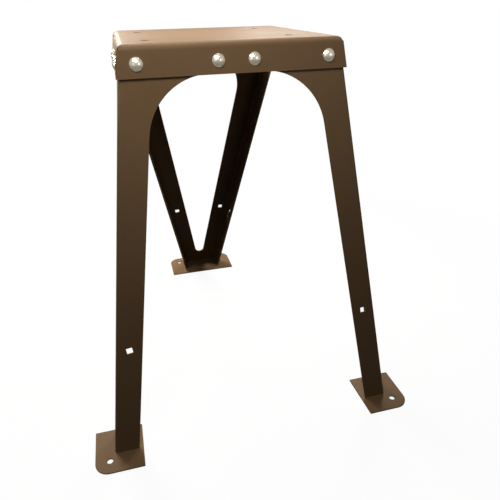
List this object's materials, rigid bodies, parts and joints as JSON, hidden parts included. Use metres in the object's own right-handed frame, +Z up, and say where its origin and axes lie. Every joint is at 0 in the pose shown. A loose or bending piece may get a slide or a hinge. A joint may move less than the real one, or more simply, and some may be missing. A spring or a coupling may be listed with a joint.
{
  "type": "bench grinder stand",
  "caption": "Three-legged stand of folded sheet steel for a bench grinder: a flanged top pan on splayed legs with flat foot plates, held by carriage bolts.",
  "frame": {"origin": "on the floor, under the middle of the stand's outline", "axes": "+Z up, -Y to the front with the two single legs, +X to the right seen from the front"},
  "size_m": [0.6412, 0.7838, 0.711],
  "materials": {
    "brown_paint": "semi-gloss brown paint on sheet steel",
    "bright_zinc": "bright zinc plate on steel fasteners"
  },
  "bodies": {
    "root": {"top_pan": "brown_paint", "front_left_leg": "brown_paint", "front_right_leg": "brown_paint", "rear_leg": "brown_paint", "front_left_foot": "brown_paint", "front_right_foot": "brown_paint", "rear_foot": "brown_paint", "front_bolt_1": "bright_zinc", "front_washer_1": "bright_zinc", "front_nut_1": "bright_zinc", "front_bolt_2": "bright_zinc", "front_washer_2": "bright_zinc", "front_nut_2": "bright_zinc", "front_bolt_3": "bright_zinc", "front_washer_3": "bright_zinc", "front_nut_3": "bright_zinc", "front_bolt_4": "bright_zinc", "front_washer_4": "bright_zinc", "front_nut_4": "bright_zinc", "left_bolt_1": "bright_zinc", "left_washer_1": "bright_zinc", "left_nut_1": "bright_zinc", "left_bolt_2": "bright_zinc", "left_washer_2": "bright_zinc", "left_nut_2": "bright_zinc", "right_bolt_1": "bright_zinc", "right_washer_1": "bright_zinc", "right_nut_1": "bright_zinc", "right_bolt_2": "bright_zinc", "right_washer_2": "bright_zinc", "right_nut_2": "bright_zinc", "rear_bolt_1": "bright_zinc", "rear_washer_1": "bright_zinc", "rear_nut_1": "bright_zinc", "rear_bolt_2": "bright_zinc", "rear_washer_2": "bright_zinc", "rear_nut_2": "bright_zinc", "rear_bolt_3": "bright_zinc", "rear_washer_3": "bright_zinc", "rear_nut_3": "bright_zinc", "rear_bolt_4": "bright_zinc", "rear_washer_4": "bright_zinc", "rear_nut_4": "bright_zinc"}
  },
  "joints": []
}
